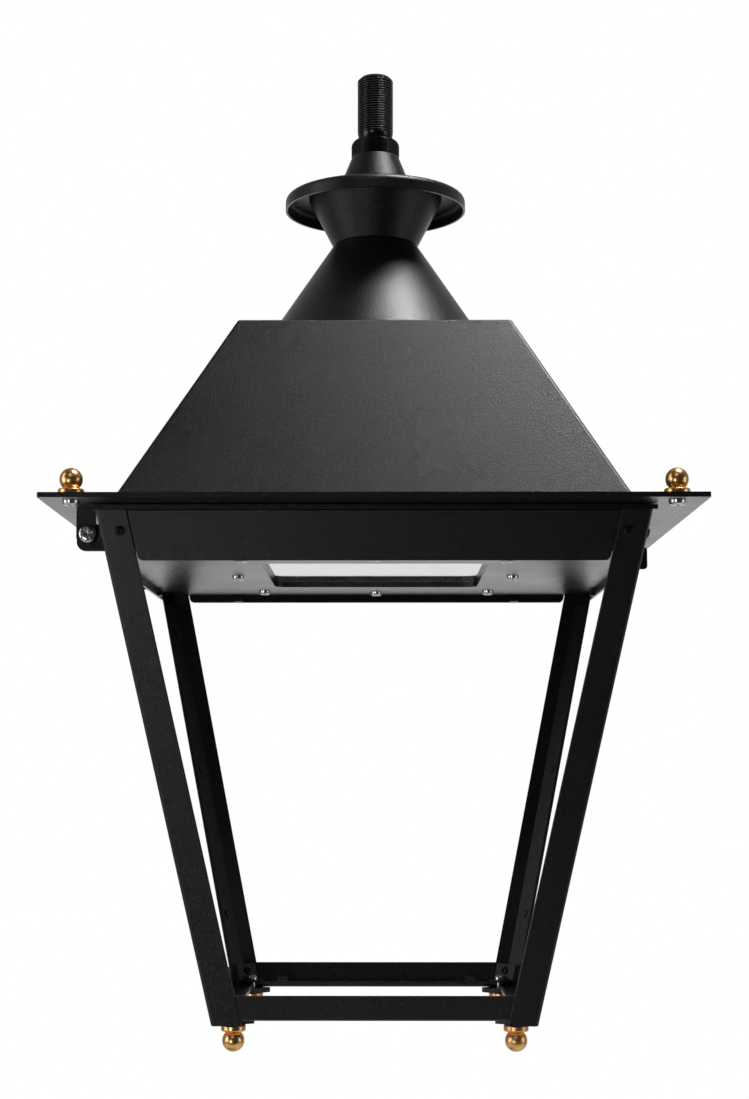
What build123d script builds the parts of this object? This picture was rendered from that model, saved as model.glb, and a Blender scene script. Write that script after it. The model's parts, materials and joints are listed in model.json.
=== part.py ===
"""Square post top lantern, made to hang from a 3/4 inch threaded stub.

A spun chimney and a folded pyramid roof hang on one threaded pipe. An open four-post cage
with the light unit in its top hinges down from the left edge of the roof and is held shut
by one screw on the right. Millimetres, +Z up, +X to the right, the front faces -Y.
The origin is on the stub's axis, half way up its thread.
"""
import math
import os

from build123d import *

os.makedirs("parts", exist_ok=True)

# ---------------------------------------------------------------- driving dimensions
# Heights are measured up or down from the underside of the roof flange.
UNDERSIDE = -319.3          # the underside of the roof flange in the part's frame
SHEET = 1.5                 # folded sheet of the roof, posts, rails and panels
SPUN = 1.5                  # spun sheet of the chimney
BODY_GAP = 0.3              # between pieces that move apart

# hanging stub, a 3/4 inch pipe thread drawn at its outer diameter
THREAD_R = 13.22
STUB_NECK_R = 12.6
STUB_BORE_R = 9.0
STUB_TOP = 342.7
STUB_CHAMFER = 2.7
THREAD_BOTTOM = 298.6
STUB_BOTTOM = 118.0
STUB_HOLE_R = 12.65         # in the pieces that the stub passes
LOCK_NUT_FLATS = 30.6
LOCK_NUT_TOP = 294.5
LOCK_NUT_BOTTOM = 281.8
LOCK_NUT_CROWN_R = 13.4     # the crown slopes at 45 degrees from this radius
BACK_NUT_FLATS = 34.0
BACK_NUT_HEIGHT = 11.0
BACK_NUT_FLANGE_R = 24.0
BACK_NUT_FLANGE = 2.5

# chimney, by radius and height of the outer line
HAT_SEAT_R = 17.2
HAT_FOOT_R = 28.2
HAT_FOOT = 254.6
HAT_R = 66.3
HAT_BRIM = 250.8
HAT_LIP_BOTTOM = 240.6
HAT_BENDS = (1.2, 12.0, 4.6)
FUNNEL_RIM_R = 50.1
FUNNEL_FOLD = 4.5
WAIST_R = 30.9
WAIST = 213.8
WAIST_FOLD = 5.0
CONE_SLOPE = 0.6752         # radius gained per millimetre of drop
CONE_FOLD = 5.0
SMALL_BEND = 2.0

# roof, half sizes
ROOF_BASE = 169.2
ROOF_TOP = 94.1
ROOF_HEIGHT = 138.5
ROOF_BEND = 2.6
FLANGE = 210.0
FLANGE_THICK = 3.3
FLANGE_OPENING = 166.0
FLANGE_CORNER = 1.0
GASKET_OUT = 177.0
GASKET_IN = 168.0
GASKET = 0.6

# cage: each side leans in by TAPER for every millimetre down
CAGE_TOP_HALF = 178.9       # outside the posts, at the flange underside
TAPER = 0.2123
RIM_HALF = 180.8
RIM_WIDTH = 20.0
RIM_TOP = -(GASKET + BODY_GAP)
RIM = 3.0
POST_TOP = RIM_TOP - RIM
POST_LEG = 20.0
POST_BEND = 2.6
POST_EDGE_ROUND = 0.7
POST_BOTTOM = -336.4
FASCIA_TOP = -4.3
FASCIA_BOTTOM = -35.8
FASCIA_CORNER = 4.0
FASCIA_GAP = 0.4
TONGUE = 13.0               # the ends of a fascia that go behind the posts
TONGUE_ROOT = 9.0
TONGUE_TOP = -6.0
TONGUE_BOTTOM = -21.0
REST_AT = 111.5             # tabs on a fascia that the light unit rests on
REST_WIDTH = 7.0
REST_HEIGHT = 3.5
REST_DEPTH = 3.0
POST_SCREW_IN = 12.6        # from the outside of the post
POST_SCREW_HEIGHT = -17.2
STRIP_REACH = 11.6          # where the strip's face crosses a leg, from the outside of the post
STRIP_TOP = -38.0
STRIP_BOTTOM = -331.5
PIN_R = 2.9
PIN_HEAD = 0.9
PIN_HEIGHTS = (-60.0, -170.0, -280.0)

# bottom ring of channels and corner feet
RAIL_TOP = -316.5
RAIL_BOTTOM = -333.2
RAIL_DEPTH = 14.5
RAIL_LIP = 4.2
RAIL_BEND = 2.0
RAIL_END = 19.6             # from the outside of the post to the end of a rail
RAIL_TAB = 8.0
RAIL_TAB_RISE = 3.5
RAIL_TAB_AT = 71.0
FOOT_PLATE = 3.6
FOOT_OUT = 105.6            # the foot plate narrows towards the post, where its point is
FOOT_IN = 80.0
FOOT_SIDE = 90.5
SHELF_TOP = -327.5
SHELF_IN = 84.6
GUSSET_TOP = -316.8
GUSSET_WING = 19.3          # from the outside of the post to a wing, and to the bend in it
GUSSET_BEND = 6.3
BRACKET_SCREW_HEIGHT = -321.5

# finials
COLLAR_R = 8.3
COLLAR = 4.4
COLLAR_ROUND = 1.2
BALL_R = 7.4
BALL_AT = 10.4              # from the seat to the centre of the ball
FINIAL_SCREW_R = 2.5
FINIAL_SCREW_DEPTH = 6.0
ROOF_FINIAL_AT = 191.5
FOOT_FINIAL_AT = 93.6

# hinge on the left, closing screw on the right
HINGE_X = -186.7
HINGE_Z = -16.2
LEAF_BACK = 147.5           # distance of the leaf's inner face from the middle
LEAF = 2.5
LEAF_R = 7.6
LEAF_RIGHT = -181.6
EAR = 2.5
EAR_TOP = -9.5
HINGE_EAR_BOTTOM = -27.1
HINGE_EAR_CORNER = 6.0
HINGE_SCREW_R = 3.0
HINGE_RUNNING = 0.08        # radial play of the screw in the leaf
HINGE_HEAD_R = 6.0
HINGE_HEAD = 3.4
CLOSING_X = 188.0
CLOSING_Z = -17.2
CLOSING_EAR_FRONT = -6.0
CLOSING_EAR_REACH = 196.6
CLOSING_EAR_BOTTOM = -25.5
CLOSING_EAR_CORNER = 2.5
CLOSING_TAB_LEFT = 181.8
CLOSING_TAB_RIGHT = 193.8
CLOSING_TAB_BOTTOM = -24.5
CLOSING_SCREW_R = 2.5
CLOSING_RUNNING = 0.05      # radial play of the screw in the ear
CLOSING_SCREW_END = 1.0     # stands out in front of the ear
CLOSING_SLOT = 6.4
CLOSING_HEAD_R = 4.75
CLOSING_HEAD = 3.4

# light unit in the top of the cage
TRAY_BOTTOM = -30.0
TRAY_TOP = -22.5
TRAY_PLAY = 0.15
TRAY_CORNER = 4.0
WINDOW_X = 77.5
WINDOW_Y = 92.0
WINDOW_CORNER = 10.0
GLASS_BOTTOM = -25.7
GLASS = 4.0
GLASS_BEARING = 5.0
HOUSING_X = 90.0
HOUSING_Y = 105.0
HOUSING_WALL = 2.5
HOUSING_FLANGE_X = 107.0
HOUSING_FLANGE_Y = 143.0
HOUSING_FLANGE = 3.0
HOUSING_TOP = 0.0
HOUSING_BASE = 4.0
FIN_TOP = 26.0
FIN = 2.2
FIN_COUNT = 13
BOARD = 1.6
BOARD_X = 62.0
BOARD_Y = 76.0
LENS_R = 7.5
LENS_RISE = 5.0
LENS_ROUND = 4.0
LENS_PLATE = 1.5
LENS_GRID = (6, 8)
LENS_PITCH = (19.0, 18.0)
DRIVER_AT = 135.0
DRIVER_SIZE = (50.0, 160.0, 32.0)
DRIVER_FOOT = 8.0
TERMINALS_AT = -146.0
TERMINALS_SIZE = (28.0, 68.0, 17.0)
TERMINAL_WAYS = 5
TERMINAL_GROOVE = 6.0

# pan head screws: head radius, head height, shank radius
POST_SCREW = (3.4, 2.2, 1.75)
POST_SCREW_GRIP = 4.0
BRACKET_SCREW = (2.9, 2.0, 1.6)
BRACKET_SCREW_GRIP = 12.5
OPTIC_SCREW = (4.4, 3.2, 2.0)
OPTIC_SCREW_GRIP = 5.0
ROOF_FINIAL_SCREW = (5.6, 3.2, FINIAL_SCREW_R)
FOOT_FINIAL_SCREW = (4.1, 2.8, FINIAL_SCREW_R)
OPTIC_SCREWS = ((-88, -127), (88, -127), (-88, 127), (88, 127), (0, -136), (0, 136), (-99.5, 0), (99.5, 0))

CORNERS = {"front_left": (-1, -1), "front_right": (1, -1), "rear_left": (-1, 1), "rear_right": (1, 1)}

LEVEL_SHEET = SHEET * math.hypot(1, TAPER)      # a leaning sheet, measured level
SLOPE_LENGTH = math.hypot(1, TAPER)             # length along a leaning face per millimetre down


def level(height):
    """A height above the flange underside, in the part's frame."""
    return UNDERSIDE + height


def cage_half(height):
    """Half size of the cage, outside its posts, at a height."""
    return CAGE_TOP_HALF + TAPER * height


# the leaning outer faces of the cage; local y runs up the slope
FRONT_FACE = Plane(origin=(0, -CAGE_TOP_HALF, UNDERSIDE), x_dir=(1, 0, 0), z_dir=(0, -1, -TAPER))
LEFT_FACE = Plane(origin=(-CAGE_TOP_HALF, 0, UNDERSIDE), x_dir=(0, -1, 0), z_dir=(-1, 0, -TAPER))


def corner_face(height, reach):
    """The front left plane that faces inwards across a corner, at a height."""
    at = -cage_half(height) + reach / 2
    return Plane(origin=(at, at, level(height)), x_dir=(1, -1, 0), z_dir=(1, 1, 2 * TAPER))


def write(piece, label):
    """Name a finished piece and write it."""
    piece.label = label
    export_step(piece, f"parts/{label}.step")


def on_face(face, across, height):
    """A place on a leaning face, at a height."""
    return face.location * Location((across, height * SLOPE_LENGTH, 0))


def pan_screw(sizes, grip):
    """A pan head screw; its head stands on the origin and its shank goes down."""
    head_r, head, shank_r = sizes
    with BuildPart() as screw:
        Cylinder(head_r, head, align=(Align.CENTER, Align.CENTER, Align.MIN))
        fillet(screw.edges().sort_by(Axis.Z)[-1], radius=0.6 * head)
        Cylinder(shank_r, grip, align=(Align.CENTER, Align.CENTER, Align.MAX))
    return screw.part


def write_screws(sizes, grip, places, label):
    """Write a set of pan head screws as one piece."""
    with BuildPart() as screws:
        with Locations(*places):
            add(pan_screw(sizes, grip))
    write(screws.part, label)


def write_mirrored(piece, label, left_to_right, front_to_rear):
    """Write a piece, reflected to the right, to the rear, both or neither."""
    with BuildPart() as copy:
        add(piece)
        if left_to_right:
            mirror(about=Plane.YZ, mode=Mode.REPLACE)
        if front_to_rear:
            mirror(about=Plane.XZ, mode=Mode.REPLACE)
    write(copy.part, label)


def write_corners(piece, stem):
    """Four copies of a front left piece, one at each corner."""
    for corner, (side, end) in CORNERS.items():
        write_mirrored(piece, f"{stem}_{corner}", side > 0, end > 0)


def write_sides(piece, stem):
    """Four copies of a front piece, turned onto each side."""
    for index, side in enumerate(("front", "right", "rear", "left")):
        with BuildPart() as copy:
            with Locations(Location((0, 0, 0), (0, 0, 90 * index))):
                add(piece)
        write(copy.part, f"{stem}_{side}")


def spun(points, bends, label):
    """Write a thin shell of revolution whose outer line runs from its top to its edge."""
    with BuildPart() as shell:
        with BuildSketch(Plane.XZ):
            with BuildLine():
                FilletPolyline(*[(radius, level(height)) for radius, height in points], radius=bends)
                offset(amount=SPUN, side=Side.RIGHT)
            make_face()
        revolve(axis=Axis.Z)
    write(shell.part, label)


# ---------------------------------------------------------------- stub and its nuts
with BuildPart() as stub:
    with BuildSketch(Plane.XZ):
        with BuildLine():
            Polyline((STUB_BORE_R, level(STUB_BOTTOM)), (STUB_NECK_R, level(STUB_BOTTOM)),
                     (STUB_NECK_R, level(THREAD_BOTTOM)), (THREAD_R, level(THREAD_BOTTOM)),
                     (THREAD_R, level(STUB_TOP - STUB_CHAMFER)), (THREAD_R - STUB_CHAMFER, level(STUB_TOP)),
                     (STUB_BORE_R, level(STUB_TOP)), close=True)
        make_face()
    revolve(axis=Axis.Z)
write(stub.part, "hanging_stub")

with BuildPart() as lock_nut:
    with BuildSketch(Plane.XY.offset(level(LOCK_NUT_BOTTOM))):
        RegularPolygon(LOCK_NUT_FLATS / 2, 6, major_radius=False)
        Circle(STUB_HOLE_R, mode=Mode.SUBTRACT)
    nut_height = LOCK_NUT_TOP - LOCK_NUT_BOTTOM
    extrude(amount=nut_height)
    with Locations((0, 0, level(LOCK_NUT_BOTTOM))):
        Cone(LOCK_NUT_CROWN_R + nut_height, LOCK_NUT_CROWN_R, nut_height,
             align=(Align.CENTER, Align.CENTER, Align.MIN), mode=Mode.INTERSECT)
write(lock_nut.part, "stub_lock_nut")

with BuildPart() as back_nut:
    with BuildSketch(Plane.XY.offset(level(ROOF_HEIGHT - SHEET))):
        Circle(BACK_NUT_FLANGE_R)
    extrude(amount=-BACK_NUT_FLANGE)
    with BuildSketch(Plane.XY.offset(level(ROOF_HEIGHT - SHEET - BACK_NUT_FLANGE))):
        RegularPolygon(BACK_NUT_FLATS / 2, 6, major_radius=False)
    extrude(amount=-(BACK_NUT_HEIGHT - BACK_NUT_FLANGE))
    with Locations((0, 0, level(ROOF_HEIGHT))):
        Hole(STUB_HOLE_R)
write(back_nut.part, "stub_back_nut")

# ---------------------------------------------------------------- chimney, three spun shells
hat_fall = (HAT_FOOT - HAT_BRIM) / (HAT_R - HAT_FOOT_R)     # slope of the brim
hat_under = HAT_FOOT - SPUN * math.hypot(1, hat_fall)       # brim's lower face at the foot radius
rim_height = hat_under - hat_fall * (FUNNEL_RIM_R - HAT_FOOT_R)
fold_height = rim_height + hat_fall * FUNNEL_FOLD
cone_foot_r = WAIST_R + CONE_SLOPE * (WAIST - ROOF_HEIGHT)

spun([(STUB_HOLE_R, LOCK_NUT_BOTTOM), (HAT_SEAT_R, LOCK_NUT_BOTTOM), (HAT_FOOT_R, HAT_FOOT),
      (HAT_R, HAT_BRIM), (HAT_R, HAT_LIP_BOTTOM)], HAT_BENDS, "chimney_hat")
spun([(FUNNEL_RIM_R - FUNNEL_FOLD, fold_height), (FUNNEL_RIM_R, rim_height), (WAIST_R, WAIST),
      (WAIST_R - WAIST_FOLD, WAIST)], (SMALL_BEND, SMALL_BEND), "chimney_funnel")
spun([(WAIST_R - WAIST_FOLD, WAIST), (WAIST_R, WAIST), (cone_foot_r, ROOF_HEIGHT),
      (cone_foot_r - CONE_FOLD, ROOF_HEIGHT)], (SMALL_BEND, SMALL_BEND), "chimney_cone")

# ---------------------------------------------------------------- roof
with BuildPart() as shell:
    with BuildSketch(Plane.XY.offset(level(FLANGE_THICK))):
        Rectangle(2 * ROOF_BASE, 2 * ROOF_BASE)
    with BuildSketch(Plane.XY.offset(level(ROOF_HEIGHT))):
        Rectangle(2 * ROOF_TOP, 2 * ROOF_TOP)
    loft(ruled=True)
    roof_base = shell.faces().sort_by(Axis.Z)[0]
    fillet(shell.edges() - roof_base.edges(), radius=ROOF_BEND)
    offset(amount=-SHEET, openings=shell.faces().sort_by(Axis.Z)[0])
    with Locations((0, 0, level(ROOF_HEIGHT))):
        Hole(STUB_HOLE_R, depth=4 * SHEET)
write(shell.part, "roof_shell")

with BuildPart() as flange:
    with BuildSketch(Plane.XY.offset(UNDERSIDE)):
        RectangleRounded(2 * FLANGE, 2 * FLANGE, FLANGE_CORNER)
        Rectangle(2 * FLANGE_OPENING, 2 * FLANGE_OPENING, mode=Mode.SUBTRACT)
        with GridLocations(2 * ROOF_FINIAL_AT, 2 * ROOF_FINIAL_AT, 2, 2):
            Circle(FINIAL_SCREW_R, mode=Mode.SUBTRACT)
    extrude(amount=FLANGE_THICK)
write(flange.part, "roof_flange")

with BuildPart() as gasket:
    with BuildSketch(Plane.XY.offset(UNDERSIDE)):
        Rectangle(2 * GASKET_OUT, 2 * GASKET_OUT)
        Rectangle(2 * GASKET_IN, 2 * GASKET_IN, mode=Mode.SUBTRACT)
    extrude(amount=-GASKET)
write(gasket.part, "roof_gasket")

# ---------------------------------------------------------------- finials
with BuildPart() as finial:
    with BuildSketch(Plane.XZ):
        with BuildLine():
            ball_foot_r = math.sqrt(BALL_R ** 2 - (BALL_AT - COLLAR) ** 2)
            collar_line = FilletPolyline((0, 0), (COLLAR_R, 0), (COLLAR_R, COLLAR), (ball_foot_r, COLLAR),
                                         radius=(COLLAR_ROUND, COLLAR_ROUND))
            ball = ThreePointArc(collar_line @ 1, (BALL_R, BALL_AT), (0, BALL_AT + BALL_R))
            Line(ball @ 1, (0, 0))
        make_face()
    revolve(axis=Axis.Z)
    with Locations(Plane.XY.rotated((180, 0, 0))):
        Hole(FINIAL_SCREW_R, depth=FINIAL_SCREW_DEPTH)

for corner, (side, end) in CORNERS.items():
    with BuildPart() as roof_finial:
        with Locations((side * ROOF_FINIAL_AT, end * ROOF_FINIAL_AT, level(FLANGE_THICK))):
            add(finial.part)
    write(roof_finial.part, f"roof_finial_{corner}")
    with BuildPart() as foot_finial:
        foot_seat = level(RAIL_BOTTOM - FOOT_PLATE)
        with Locations(Location((side * FOOT_FINIAL_AT, end * FOOT_FINIAL_AT, foot_seat), (180, 0, 0))):
            add(finial.part)
    write(foot_finial.part, f"foot_finial_{corner}")

# ---------------------------------------------------------------- cage frame
with BuildPart() as rim:
    with BuildSketch(Plane.XY.offset(level(RIM_TOP))):
        Rectangle(2 * RIM_HALF, 2 * RIM_HALF)
        Rectangle(2 * (RIM_HALF - RIM_WIDTH), 2 * (RIM_HALF - RIM_WIDTH), mode=Mode.SUBTRACT)
    extrude(amount=-RIM)
write(rim.part, "cage_rim")

post_screw_at = cage_half(POST_SCREW_HEIGHT) - POST_SCREW_IN
DOWN_THE_CORNER = Vector(TAPER, TAPER, -1)          # a front left post leans this way
bracket_screw_place = corner_face(BRACKET_SCREW_HEIGHT, GUSSET_WING + GUSSET_BEND)

with BuildPart() as post:
    post_corner = -cage_half(POST_TOP)
    with BuildSketch(Plane.XY.offset(level(POST_TOP))):
        with Locations((post_corner, post_corner)):
            Rectangle(POST_LEG, LEVEL_SHEET, align=(Align.MIN, Align.MIN))
            Rectangle(LEVEL_SHEET, POST_LEG, align=(Align.MIN, Align.MIN))
    extrude(amount=(POST_TOP - POST_BOTTOM) * DOWN_THE_CORNER.length, dir=DOWN_THE_CORNER)
    long_edges = post.edges().filter_by(lambda edge: edge.length > 2 * POST_LEG)
    folds = long_edges.sort_by(lambda edge: edge.center().X + edge.center().Y)
    fillet(folds[0], radius=POST_BEND)
    fillet(folds[1], radius=POST_BEND - SHEET)
    fillet(folds[2:4], radius=POST_EDGE_ROUND)
    with Locations(on_face(FRONT_FACE, -post_screw_at, POST_SCREW_HEIGHT),
                   on_face(LEFT_FACE, post_screw_at, POST_SCREW_HEIGHT)):
        Hole(POST_SCREW[2], depth=2 * SHEET)
write_corners(post.part, "post")

with BuildPart() as strip:
    strip_corner = -cage_half(STRIP_TOP)
    with BuildSketch(Plane.XY.offset(level(STRIP_TOP))):
        with Locations((strip_corner, strip_corner)):
            strip_side = STRIP_REACH - LEVEL_SHEET
            strip_back = strip_side - SHEET * math.sqrt(2)
            Polygon((LEVEL_SHEET, strip_side), (LEVEL_SHEET, strip_back), (strip_back, LEVEL_SHEET),
                    (strip_side, LEVEL_SHEET), align=None)
    extrude(amount=(STRIP_TOP - STRIP_BOTTOM) * DOWN_THE_CORNER.length, dir=DOWN_THE_CORNER)
    with Locations(*[corner_face(height, STRIP_REACH) for height in PIN_HEIGHTS]):
        Hole(PIN_R, depth=2 * SHEET)
    with Locations(bracket_screw_place):
        Hole(BRACKET_SCREW[2], depth=BRACKET_SCREW_GRIP)
write_corners(strip.part, "corner_strip")

with BuildPart() as corner_pins:
    with Locations(*[corner_face(height, STRIP_REACH).offset(PIN_HEAD) for height in PIN_HEIGHTS]):
        Cylinder(PIN_R, PIN_HEAD + 2 * SHEET, align=(Align.CENTER, Align.CENTER, Align.MAX))
with BuildPart() as pins:
    add(corner_pins.part)
    mirror(about=Plane.YZ)
    mirror(about=Plane.XZ)
write(pins.part, "strip_pins")

# ---------------------------------------------------------------- fascia panels
with BuildPart() as fascia:
    with BuildSketch(FRONT_FACE) as panel:
        panel_top, panel_bottom = FASCIA_TOP * SLOPE_LENGTH, FASCIA_BOTTOM * SLOPE_LENGTH
        half_top = cage_half(FASCIA_TOP) - POST_LEG - FASCIA_GAP
        half_bottom = cage_half(FASCIA_BOTTOM) - POST_LEG - FASCIA_GAP
        Polygon((-half_top, panel_top), (-half_bottom, panel_bottom), (half_bottom, panel_bottom),
                (half_top, panel_top), align=None)
        fillet(panel.vertices().group_by(Axis.Y)[0], radius=FASCIA_CORNER)
    extrude(amount=-SHEET)
    with BuildSketch(FRONT_FACE.offset(-SHEET)):
        high_edge = cage_half(TONGUE_TOP) - POST_LEG
        low_edge = cage_half(TONGUE_BOTTOM) - POST_LEG
        high, low = TONGUE_TOP * SLOPE_LENGTH, TONGUE_BOTTOM * SLOPE_LENGTH
        Polygon((high_edge - TONGUE_ROOT, high), (low_edge - TONGUE_ROOT, low), (low_edge + TONGUE, low),
                (high_edge + TONGUE, high), align=None)
        mirror(about=Plane.YZ)
    extrude(amount=-SHEET)
    with BuildSketch(FRONT_FACE.offset(-SHEET)):
        with Locations((-REST_AT, panel_bottom), (REST_AT, panel_bottom)):
            Rectangle(REST_WIDTH, REST_HEIGHT, align=(Align.CENTER, Align.MIN))
    extrude(amount=-REST_DEPTH)
    with Locations(on_face(FRONT_FACE, -post_screw_at, POST_SCREW_HEIGHT),
                   on_face(FRONT_FACE, post_screw_at, POST_SCREW_HEIGHT)):
        Hole(POST_SCREW[2], depth=3 * SHEET)
write_sides(fascia.part, "fascia")

with BuildPart() as corner_screws:
    with Locations(on_face(FRONT_FACE, -post_screw_at, POST_SCREW_HEIGHT),
                   on_face(LEFT_FACE, post_screw_at, POST_SCREW_HEIGHT)):
        add(pan_screw(POST_SCREW, POST_SCREW_GRIP))
with BuildPart() as post_screws:
    add(corner_screws.part)
    mirror(about=Plane.YZ)
    mirror(about=Plane.XZ)
write(post_screws.part, "post_screws")

# ---------------------------------------------------------------- bottom ring and feet
with BuildPart() as rail:
    wall_top = LEVEL_SHEET - cage_half(RAIL_TOP)
    wall_bottom = LEVEL_SHEET - cage_half(RAIL_BOTTOM)
    lip_at = wall_bottom + RAIL_DEPTH
    lip_top = RAIL_BOTTOM + RAIL_LIP
    with BuildSketch(Plane.YZ):
        with BuildLine():
            FilletPolyline((wall_top, level(RAIL_TOP)), (wall_bottom, level(RAIL_BOTTOM)),
                           (lip_at, level(RAIL_BOTTOM)), (lip_at, level(lip_top)), radius=RAIL_BEND)
            offset(amount=SHEET, side=Side.LEFT)
        make_face()
    extrude(amount=cage_half(RAIL_TOP), both=True)
    with BuildSketch(Plane.XZ):
        rail_high = cage_half(RAIL_TOP) - RAIL_END
        rail_low = cage_half(RAIL_BOTTOM) - RAIL_END
        Polygon((-rail_high, level(RAIL_TOP)), (-rail_low, level(RAIL_BOTTOM)),
                (rail_low, level(RAIL_BOTTOM)), (rail_high, level(RAIL_TOP)), align=None)
    extrude(amount=cage_half(0), mode=Mode.INTERSECT)
    with Locations((-RAIL_TAB_AT, lip_at, level(lip_top)), (RAIL_TAB_AT, lip_at, level(lip_top))):
        Box(RAIL_TAB, SHEET, RAIL_TAB_RISE, align=(Align.CENTER, Align.MAX, Align.MIN))
write_sides(rail.part, "bottom_rail")

with BuildPart() as foot:
    with BuildSketch(Plane.XY.offset(level(RAIL_BOTTOM))):
        Polygon((-FOOT_OUT, -FOOT_OUT), (-FOOT_IN, -FOOT_SIDE), (-FOOT_SIDE, -FOOT_IN), align=None)
    extrude(amount=-FOOT_PLATE)
    foot_corner = (-cage_half(RAIL_BOTTOM), -cage_half(RAIL_BOTTOM), level(RAIL_BOTTOM))
    with BuildSketch(Plane(foot_corner)):
        with BuildLine():
            Polyline((LEVEL_SHEET, GUSSET_WING), (GUSSET_BEND, GUSSET_WING),
                     (GUSSET_WING, GUSSET_BEND), (GUSSET_WING, LEVEL_SHEET))
            offset(amount=SHEET, side=Side.RIGHT)
        make_face()
    extrude(amount=(GUSSET_TOP - RAIL_BOTTOM) * DOWN_THE_CORNER.length, dir=-DOWN_THE_CORNER)
    with BuildSketch(Plane.XY.offset(level(SHELF_TOP))):
        shelf_out = cage_half(SHELF_TOP) - GUSSET_BEND
        shelf_cut = cage_half(SHELF_TOP) - GUSSET_WING
        Polygon((-shelf_out, -SHELF_IN), (-shelf_out, -shelf_cut), (-shelf_cut, -shelf_out),
                (-SHELF_IN, -shelf_out), (-SHELF_IN, -SHELF_IN), align=None)
    extrude(amount=-SHEET)
    with Locations((-FOOT_FINIAL_AT, -FOOT_FINIAL_AT, level(SHELF_TOP))):
        Hole(FINIAL_SCREW_R, depth=SHELF_TOP - RAIL_BOTTOM + FOOT_PLATE)
    with Locations(bracket_screw_place):
        Hole(BRACKET_SCREW[2], depth=2 * SHEET)
write_corners(foot.part, "corner_foot")

with BuildPart() as corner_screw:
    with Locations(bracket_screw_place):
        add(pan_screw(BRACKET_SCREW, BRACKET_SCREW_GRIP))
with BuildPart() as bracket_screws:
    add(corner_screw.part)
    mirror(about=Plane.YZ)
    mirror(about=Plane.XZ)
write(bracket_screws.part, "bracket_screws")

roof_screw_places = [Location((side * ROOF_FINIAL_AT, end * ROOF_FINIAL_AT, UNDERSIDE), (180, 0, 0))
                     for side, end in CORNERS.values()]
write_screws(ROOF_FINIAL_SCREW, FLANGE_THICK + FINIAL_SCREW_DEPTH, roof_screw_places, "roof_finial_screws")
foot_screw_places = [Location((side * FOOT_FINIAL_AT, end * FOOT_FINIAL_AT, level(SHELF_TOP)))
                     for side, end in CORNERS.values()]
foot_screw_grip = SHELF_TOP - RAIL_BOTTOM + FOOT_PLATE + FINIAL_SCREW_DEPTH
write_screws(FOOT_FINIAL_SCREW, foot_screw_grip, foot_screw_places, "foot_finial_screws")

# ---------------------------------------------------------------- hinge
with BuildPart() as leaf:
    with BuildSketch(Plane.XZ.offset(LEAF_BACK)) as leaf_outline:
        leaf_left = HINGE_X - LEAF_R
        leaf_bottom = HINGE_Z - LEAF_R
        with Locations((leaf_left, level(leaf_bottom))):
            Rectangle(LEAF_RIGHT - leaf_left, -leaf_bottom, align=(Align.MIN, Align.MIN))
        fillet(leaf_outline.vertices().group_by(Axis.Y)[0], radius=0.49 * (LEAF_RIGHT - leaf_left))
        with Locations((HINGE_X, level(HINGE_Z))):
            Circle(HINGE_SCREW_R + HINGE_RUNNING, mode=Mode.SUBTRACT)
    extrude(amount=LEAF)
write(leaf.part, "hinge_leaf_front")
write_mirrored(leaf.part, "hinge_leaf_rear", False, True)

with BuildPart() as hinge_ear:
    with BuildSketch(Plane.XZ.offset(LEAF_BACK - BODY_GAP - EAR)) as ear_outline:
        Polygon((leaf_left, level(EAR_TOP)), (leaf_left, level(HINGE_EAR_BOTTOM)),
                (-cage_half(HINGE_EAR_BOTTOM), level(HINGE_EAR_BOTTOM)),
                (-cage_half(EAR_TOP), level(EAR_TOP)), align=None)
        fillet(ear_outline.vertices().sort_by(Axis.X)[:2].sort_by(Axis.Y)[0], radius=HINGE_EAR_CORNER)
        with Locations((HINGE_X, level(HINGE_Z))):
            Circle(HINGE_SCREW_R, mode=Mode.SUBTRACT)
    extrude(amount=EAR)
write(hinge_ear.part, "hinge_ear_front")
write_mirrored(hinge_ear.part, "hinge_ear_rear", False, True)

hinge_head_at = LEAF_BACK + LEAF + BODY_GAP
hinge_places = [Plane((HINGE_X, end * hinge_head_at, level(HINGE_Z)), z_dir=(0, end, 0)) for end in (-1, 1)]
write_screws((HINGE_HEAD_R, HINGE_HEAD, HINGE_SCREW_R), LEAF + EAR + 2 * BODY_GAP, hinge_places, "hinge_screws")

# ---------------------------------------------------------------- closing screw
with BuildPart() as closing_ear:
    with BuildSketch(Plane.XZ.offset(-CLOSING_EAR_FRONT - EAR)) as ear_outline:
        Polygon((cage_half(EAR_TOP), level(EAR_TOP)), (cage_half(CLOSING_EAR_BOTTOM), level(CLOSING_EAR_BOTTOM)),
                (CLOSING_EAR_REACH, level(CLOSING_EAR_BOTTOM)), (CLOSING_EAR_REACH, level(EAR_TOP)), align=None)
        fillet(ear_outline.vertices().sort_by(Axis.X)[-2:], radius=CLOSING_EAR_CORNER)
        with Locations((CLOSING_X, level(CLOSING_Z))):
            Circle(CLOSING_SCREW_R + CLOSING_RUNNING, mode=Mode.SUBTRACT)
    extrude(amount=EAR)
write(closing_ear.part, "closing_ear")

closing_tab_front = CLOSING_EAR_FRONT + EAR + BODY_GAP
with BuildPart() as closing_tab:
    with BuildSketch(Plane.XZ.offset(-closing_tab_front - EAR)) as tab_outline:
        with Locations((CLOSING_TAB_LEFT, level(CLOSING_TAB_BOTTOM))):
            Rectangle(CLOSING_TAB_RIGHT - CLOSING_TAB_LEFT, -CLOSING_TAB_BOTTOM, align=(Align.MIN, Align.MIN))
        with Locations((CLOSING_X, level(CLOSING_Z))):
            Circle(CLOSING_SLOT / 2, mode=Mode.SUBTRACT)
            Rectangle(CLOSING_SLOT, CLOSING_Z - CLOSING_TAB_BOTTOM, align=(Align.CENTER, Align.MAX),
                      mode=Mode.SUBTRACT)
    extrude(amount=EAR)
write(closing_tab.part, "closing_tab")

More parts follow.
